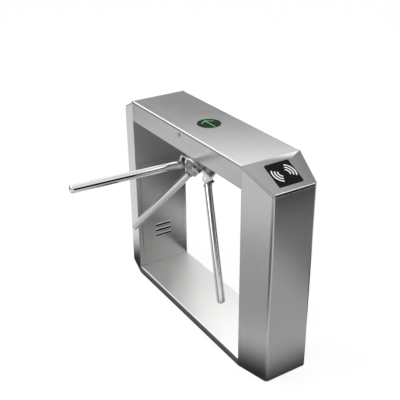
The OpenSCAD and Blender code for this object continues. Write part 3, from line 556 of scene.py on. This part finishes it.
def door_frame(bm, width):
    """Rolls the edges of the opening that a door closes."""
    face = max((f for f in bm.faces if f.normal.x * f.calc_center_median().x < -0.1),
               key=lambda f: f.calc_area())
    place, out = face.calc_center_median(), face.normal
    inside = max(abs(v.co.y) for v in bm.verts) - 4 * MM
    ring = [e for e in edges_of(bm, 80) if all(abs((v.co - place).dot(out)) < 0.2 * MM for v in e.verts)
            and max(abs(v.co.y) for v in e.verts) < inside and e.calc_length() > 50 * MM]
    rounded(bm, ring, width, 3)


# ---------------------------------------------------------------- operators

class FINISH_OT_solids(bpy.types.Operator):
    """Give every solid of the turnstile its finish"""
    bl_idname = "turnstile.finish_solids"
    bl_label = "Finish the solids"

    def execute(self, context):
        made = {
            "stainless_sheet": brushed_sheet("stainless_sheet_finish"),
            "stainless_tube": polished_tube("stainless_tube_finish"),
            "hub_alloy": satin_metal("hub_alloy_finish", tuple(colours().cast), 0.2, 0.08),
            "bright_steel": satin_metal("bright_steel_finish", (0.62, 0.62, 0.62), 0.16, 0.08, bump=0.04),
            "lock_chrome": satin_metal("lock_chrome_finish", (0.4, 0.4, 0.41), 0.2, 0.06, bump=0.02),
            "zinc_fastener": satin_metal("zinc_fastener_finish", (0.46, 0.46, 0.44), 0.34, 0.16),
            "black_gloss": lens_black("black_gloss_finish"),
            "arrow_green": lamp_green("arrow_green_finish"),
            "circuit_board": circuit_green("circuit_board_finish"),
            "black_matt": moulded("black_matt_finish", (0.03, 0.03, 0.032), 0.5, 0.25),
            "black_rubber": moulded("black_rubber_finish", (0.02, 0.02, 0.02), 0.72, 0.3),
            "chassis_paint": moulded("chassis_paint_finish", (0.09, 0.1, 0.11), 0.42, 0.35, 0.1, 420),
            "motor_black": moulded("motor_black_finish", (0.03, 0.03, 0.032), 0.34, 0.15, 0.15),
            "galvanised": spangled_zinc("galvanised_finish", (0.5, 0.51, 0.52)),
            "brass": satin_metal("brass_finish", (0.62, 0.44, 0.16), 0.24, 0.1),
            "button_red": moulded("button_red_finish", (0.45, 0.01, 0.01), 0.25, 0.03, 0.3),
        }
        for entry in frame["record"]["subparts"]:
            mesh = frame["nodes"][entry["node"]].data
            mesh.materials.clear()
            mesh.materials.append(made[entry["material_slot"]])
        return {"FINISHED"}


class FINISH_OT_cabinet(bpy.types.Operator):
    """Round the folded edges of the cabinet and give its sheet the brushed grain"""
    bl_idname = "turnstile.dress_cabinet"
    bl_label = "Dress the cabinet"

    def execute(self, context):
        upright = brushed_sheet("stainless_sheet_upright", upright=True)
        lengthwise = finish_of("stainless_sheet")
        # Painted light: the tray wears a copy of the cabinet's sheet made 1.7 times lighter, standing in for
        # the brighter light that falls on it.
        tray_painted_light = brushed_sheet("tray_sheet_painted_light", tone=1.7, rough=0.33)
        fold, roll, cut = sizes().panel_round, sizes().rolled_edge, sizes().sheet_round
        for node, finish, first in (
                ("lid", lengthwise, lambda bm: slope_folds(bm, fold)),
                ("bridge_beam", lengthwise, lambda bm: long_rims(bm, roll)),
                ("base_tray", tray_painted_light, lambda bm: long_rims(bm, fold)),
                ("near_leg_front", upright, lambda bm: door_frame(bm, roll)),
                ("far_leg_front", upright, lambda bm: door_frame(bm, roll)),
                ("near_leg_shell", upright, None),
                ("far_leg_shell", upright, None),
                ("near_door", upright, None),
                ("far_door", upright, None)):
            softened(node, finish, cut, 2, 40, 36, first)
        return {"FINISHED"}


class FINISH_OT_hub(bpy.types.Operator):
    """Round the edges of the hub, its brackets and the arm roots"""
    bl_idname = "turnstile.dress_hub"
    bl_label = "Dress the hub"

    def execute(self, context):
        for node in ("hub", "arm_brackets", "arm_root_1", "arm_root_2", "arm_root_3", "hub_nut"):
            softened(node, finish_of(slot_of(node)), sizes().cast_round, 3, 28, 34)
        return {"FINISHED"}


class FINISH_OT_arms(bpy.types.Operator):
    """Turn the polished arm tubes with their end caps"""
    bl_idname = "turnstile.turn_arms"
    bl_label = "Turn the arms"

    def execute(self, context):
        apex = joint_place("hub_spin")
        for i in (1, 2, 3):
            along = (joint_place(f"arm_{i}_drop") - apex).normalized()
            self.arm(i, apex_frame(apex, along))
        return {"FINISHED"}

    def arm(self, i, place):
        """One tube and its domed cap, turned about the Z of the arm's own frame."""
        edge, neck, plug_fit, seat, dome = 0.4 * MM, 0.6 * MM, 0.2 * MM, 0.1 * MM, 10 * MM
        steps = 12
        shiny = finish_of("stainless_tube")
        tube = self.points(f"arm_tube_{i}", place)
        start, end = min(v.z for v in tube), max(v.z for v in tube)
        radius = max(math.hypot(v.x, v.y) for v in tube)
        bore = min(math.hypot(v.x, v.y) for v in tube)
        outline = [(bore, start), (radius - edge, start), (radius, start + edge), (radius, end - edge),
                   (radius - edge, end), (bore, end)]
        piece(f"turned_arm_tube_{i}", turned(outline, place), shiny, f"arm_{i}", f"arm_tube_{i}",
              "stainless_tube", 30)
        cap = self.points(f"arm_cap_{i}", place)
        tip, plug = max(v.z for v in cap), min(v.z for v in cap)
        ball = (radius ** 2 + dome ** 2) / (2 * dome)
        reach = math.asin((radius - neck) / ball)
        arc = [(ball * math.sin(reach * k / steps), tip - ball + ball * math.cos(reach * k / steps))
               for k in range(steps + 1)]
        outline = [(0, plug), (bore - plug_fit, plug), (bore - plug_fit, end + seat),
                   (radius - edge, end + seat), (radius, end + seat + edge),
                   (radius, arc[-1][1] - 2 * edge)] + arc[::-1]
        piece(f"turned_arm_cap_{i}", turned(outline, place), shiny, f"arm_{i}", f"arm_cap_{i}",
              "stainless_tube", 40)

    def points(self, node, place):
        """The corners of a node's solid, seen from the given frame."""
        return [place.inverted() @ v.co for v in frame["nodes"][node].data.vertices]


class FINISH_OT_indicator(bpy.types.Operator):
    """Round the rim of the indicator lens"""
    bl_idname = "turnstile.dress_indicator"
    bl_label = "Dress the indicator"

    def execute(self, context):
        softened("indicator_lens", finish_of("black_gloss"), 0.4 * MM, 2, 50, 40)
        return {"FINISHED"}


class FINISH_OT_reader(bpy.types.Operator):
    """Round the reader plate and print its arcs"""
    bl_idname = "turnstile.dress_reader"
    bl_label = "Dress the reader"

    def execute(self, context):
        half_plate = 1.5 * MM
        low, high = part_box("reader_plate")
        mesh = frame["nodes"]["reader_plate"].data
        face = max((f for f in mesh.polygons if f.normal.z > 0.5), key=lambda f: f.area)
        slope = math.atan2(face.normal.x, face.normal.z)
        out = Vector((math.sin(slope), 0, math.cos(slope)))
        place = (low + high) / 2 - out * half_plate
        softened("reader_plate", reader_print("reader_print", slope, place), 0.8 * MM, 3, 28, 34)
        return {"FINISHED"}


# Cards that show only in gloss: name, middle, point they face, width, height, tone, and the soft share
# of the width and of the height. Where cards overlap, the one nearer to the object covers the other.
CARDS = (
    ("wall_back", (-2.95, 2.03, 2.25), (0, 0, 2.25), 5.4, 4.7, 1.77, 0.06, 0.06),
    ("wall_low", (-2.92, 2.01, 1.2), (0, 0, 1.2), 5.2, 1.4, 0.1, 0.1, 0.3),
    ("wall_middle", (-2.89, 1.99, 2.2), (0, 0, 2.2), 5.2, 1.1, 0.0, 0.1, 0.35),
    ("wall_high", (-2.86, 1.97, 3.0), (0, 0, 3.0), 5.2, 1.1, 2.24, 0.1, 0.35),
    ("fold_glow", (-2.95, -0.8, 3.0), (0, -0.1, 0.95), 1.0, 3.0, 4.0, 0.3, 0.2),
    ("hem_glow", (-0.2, -2.4, 3.0), (0.5, 0, 0.9), 1.8, 2.4, 3.0, 0.25, 0.2),
    ("rim_glow", (1.8, 1.8, 3.2), (0.6, 0, 0.9), 1.4, 1.2, 3.5, 0.25, 0.25),
    ("wall_left", (-4.4, -1.3, 1.2), (0, 0, 1.2), 6.0, 2.8, 0.2, 0.1, 0.15),
    ("wall_front", (-1.2, -4.4, 1.5), (0, 0, 1.5), 6.0, 3.4, 0.4, 0.12, 0.12),
    ("above_front", (1.2, -1.0, 3.3), (0.1, -0.1, 0.7), 2.6, 2.2, 0.15, 0.2, 0.2),
    ("grey_front", (4.2, -2.8, 2.2), (0, 0, 1.0), 4.0, 3.6, 0.1, 0.15, 0.15),
    ("flag_right", (1.95, 0.5, 0.98), (0, -0.4, 0.98), 1.6, 1.95, 0.0, 0.1, 0.08),
    ("floor_flag", (2.4, 0.45, 0.008), (2.4, 0.45, 2), 1.4, 1.0, 0.04, 0.2, 0.2),
    ("wall_right", (1.2, 3.4, 1.4), (0, 0, 0.8), 3.5, 3.0, 0.1, 0.15, 0.15),
    ("floor_left", (-3.0, -1.6, 0.004), (-3.0, -1.6, 2), 2.8, 3.2, 0.66, 0.2, 0.2),
    ("floor_front", (-1.5, -1.35, 0.005), (-1.5, -1.35, 2), 2.4, 2.0, 0.95, 0.2, 0.2),
    ("floor_beside", (-0.25, -0.8, 0.006), (-0.25, -0.8, 2), 2.0, 1.2, 0.6, 0.25, 0.25),
    ("floor_corner", (1.15, -1.0, 0.007), (1.15, -1.0, 2), 1.9, 1.4, 0.12, 0.3, 0.3),
    ("floor_right", (1.9, 1.3, 0.004), (1.9, 1.3, 2), 2.2, 2.2, 0.3, 0.25, 0.25),
    ("floor_behind", (0.6, 0.75, 0.005), (0.6, 0.75, 2), 1.6, 1.0, 0.05, 0.3, 0.3),
    ("floor_end", (1.1, 0.15, 0.006), (1.1, 0.15, 2), 1.1, 1.1, 0.62, 0.3, 0.3),
    ("ground_shade", (0, 0, 0.003), (0, 0, 2), 1.78, 0.86, 0.04, 0.17, 0.35),
    ("above_near", (0.1, 1.0, 3.0), (0.4, 0, 0.9), 2.4, 1.3, 0.85, 0.2, 0.3),
    ("above_far", (0.2, 2.15, 3.0), (0.5, 0, 0.9), 2.4, 1.6, 0.12, 0.2, 0.3),
)

# Soft lamps: name, place, point they face, size, power, whether the metal reflects them
LAMPS = (
    ("key_light", (-1.2, -2.2, 3.6), (0, 0, 0.4), 2.4, 50, True),
    ("back_light", (-1.9, 1.9, 3.3), (0.2, 0, 0.5), 1.5, 14, False),
    ("fill_light", (2.6, -2.6, 2.8), (0, 0, 0.5), 2.0, 22, False),
)

# Camera: place, degrees turned round the object, degrees down, degrees of roll, focal length in mm
CAMERA = ((2.4833, -1.6027, 2.0738), 57.98, 26.82, -0.53, 65.516)


class FINISH_OT_stage(bpy.types.Operator):
    """Set the floor, the lights, the reflection cards and the camera"""
    bl_idname = "turnstile.set_stage"
    bl_label = "Set the stage"

    def execute(self, context):
        bm = bmesh.new()
        bmesh.ops.create_grid(bm, x_segments=8, y_segments=8, size=14)
        floor = self.put("studio_floor", bm, floor_white("studio_floor"))
        floor.location.z = -0.5 * MM
        for name, place, target, width, height, tone, soft_u, soft_v in CARDS:
            bm = bmesh.new()
            bm.loops.layers.uv.new("card")
            bmesh.ops.create_grid(bm, x_segments=1, y_segments=1, size=0.5, calc_uvs=True)
            bmesh.ops.scale(bm, vec=(width, height, 1), verts=bm.verts)
            card = self.put(name, bm, studio_card(name, tone, soft_u, soft_v))
            self.aim(card, place, target, "Z")
            card.visible_camera = card.visible_diffuse = card.visible_shadow = False
            card.visible_transmission = card.visible_volume_scatter = False
        self.world(context)
        for name, place, target, size, power, glossy in LAMPS:
            self.lamp(name, place, target, size, power).visible_glossy = glossy
        context.scene.view_settings.view_transform = "Standard"
        self.camera(context)
        return {"FINISHED"}

    def world(self, context):
        """White to the camera, in gloss and through glass, and a soft plain light on everything else."""
        world = bpy.data.worlds.new("studio_world")
        world.use_nodes = True
        context.scene.world = world
        tree = world.node_tree
        tree.nodes.clear()
        add, link = tree.nodes.new, tree.links.new
        path, mix = add("ShaderNodeLightPath"), add("ShaderNodeMixShader")
        seen, ambient = add("ShaderNodeBackground"), add("ShaderNodeBackground")
        seen.inputs["Color"].default_value = (1, 1, 1, 1)
        ambient.inputs["Color"].default_value = (1, 1, 1, 1)
        ambient.inputs["Strength"].default_value = 1.0
        first, second = add("ShaderNodeMath"), add("ShaderNodeMath")
        first.operation = second.operation = "ADD"
        second.use_clamp = True
        link(path.outputs["Is Camera Ray"], first.inputs[0])
        link(path.outputs["Is Glossy Ray"], first.inputs[1])
        link(first.outputs[0], second.inputs[0])
        link(path.outputs["Is Transmission Ray"], second.inputs[1])
        link(second.outputs[0], mix.inputs[0])
        link(ambient.outputs[0], mix.inputs[1])
        link(seen.outputs[0], mix.inputs[2])
        link(mix.outputs[0], add("ShaderNodeOutputWorld").inputs["Surface"])

    def put(self, name, bm, material):
        """Makes a stage object from a mesh."""
        mesh = bpy.data.meshes.new(name)
        bm.to_mesh(mesh)
        bm.free()
        mesh.materials.append(material)
        obj = bpy.data.objects.new(name, mesh)
        bpy.context.scene.collection.objects.link(obj)
        return obj

    def lamp(self, name, place, target, size, power):
        data = bpy.data.lights.new(name, "AREA")
        data.shape, data.size, data.energy = "SQUARE", size, power
        obj = bpy.data.objects.new(name, data)
        self.aim(obj, place, target, "-Z")
        bpy.context.scene.collection.objects.link(obj)
        return obj

    def aim(self, obj, place, target, axis):
        """Puts an object at a place with the given axis towards the target."""
        obj.location = place
        obj.rotation_mode = "QUATERNION"
        obj.rotation_quaternion = (Vector(target) - Vector(place)).to_track_quat(axis, "Y")

    def camera(self, context):
        """Camera turned round the object and looking down on it."""
        place, *angles, lens = CAMERA
        turn, down, roll = (math.radians(angle) for angle in angles)
        ahead = Vector((-math.sin(turn) * math.cos(down), math.cos(turn) * math.cos(down), -math.sin(down)))
        level = Vector((math.cos(turn), math.sin(turn), 0))
        right = Matrix.Rotation(-roll, 3, ahead) @ level
        top = right.cross(ahead)
        data = bpy.data.cameras.new("camera")
        data.sensor_width = 36
        data.lens = lens
        data.clip_end = 60
        obj = bpy.data.objects.new("camera", data)
        axes = Matrix((right, top, -ahead)).transposed().to_4x4()
        obj.matrix_world = Matrix.Translation(place) @ axes
        context.scene.collection.objects.link(obj)
        context.scene.camera = obj


class TURNSTILE_PT_looks(bpy.types.Panel):
    """Steps that dress the turnstile"""
    bl_idname = "TURNSTILE_PT_looks"
    bl_label = "Turnstile"
    bl_space_type = "VIEW_3D"
    bl_region_type = "UI"
    bl_category = "Turnstile"

    def draw(self, context):
        layout = self.layout
        for group in (context.scene.turnstile_sizes, context.scene.turnstile_colours):
            box = layout.box()
            for key in group.bl_rna.properties.keys():
                if key not in ("rna_type", "name"):
                    box.prop(group, key)
        for step in STEPS:
            layout.operator(step.bl_idname)


STEPS = (FINISH_OT_solids, FINISH_OT_cabinet, FINISH_OT_hub, FINISH_OT_arms, FINISH_OT_indicator,
         FINISH_OT_reader, FINISH_OT_stage)
CLASSES = (TurnstileSizes, TurnstileColours, *STEPS, TURNSTILE_PT_looks)


def register():
    for cls in CLASSES:
        bpy.utils.register_class(cls)
    bpy.types.Scene.turnstile_sizes = bpy.props.PointerProperty(type=TurnstileSizes)
    bpy.types.Scene.turnstile_colours = bpy.props.PointerProperty(type=TurnstileColours)


def unregister():
    del bpy.types.Scene.turnstile_colours
    del bpy.types.Scene.turnstile_sizes
    for cls in reversed(CLASSES):
        bpy.utils.unregister_class(cls)


def main():
    register()
    bpy.ops.turnstile.finish_solids()
    bpy.ops.turnstile.dress_cabinet()
    bpy.ops.turnstile.dress_hub()
    bpy.ops.turnstile.turn_arms()
    bpy.ops.turnstile.dress_indicator()
    bpy.ops.turnstile.dress_reader()
    bpy.ops.turnstile.set_stage()
    bpy.context.view_layer.update()


if __name__ == "__main__":
    main()
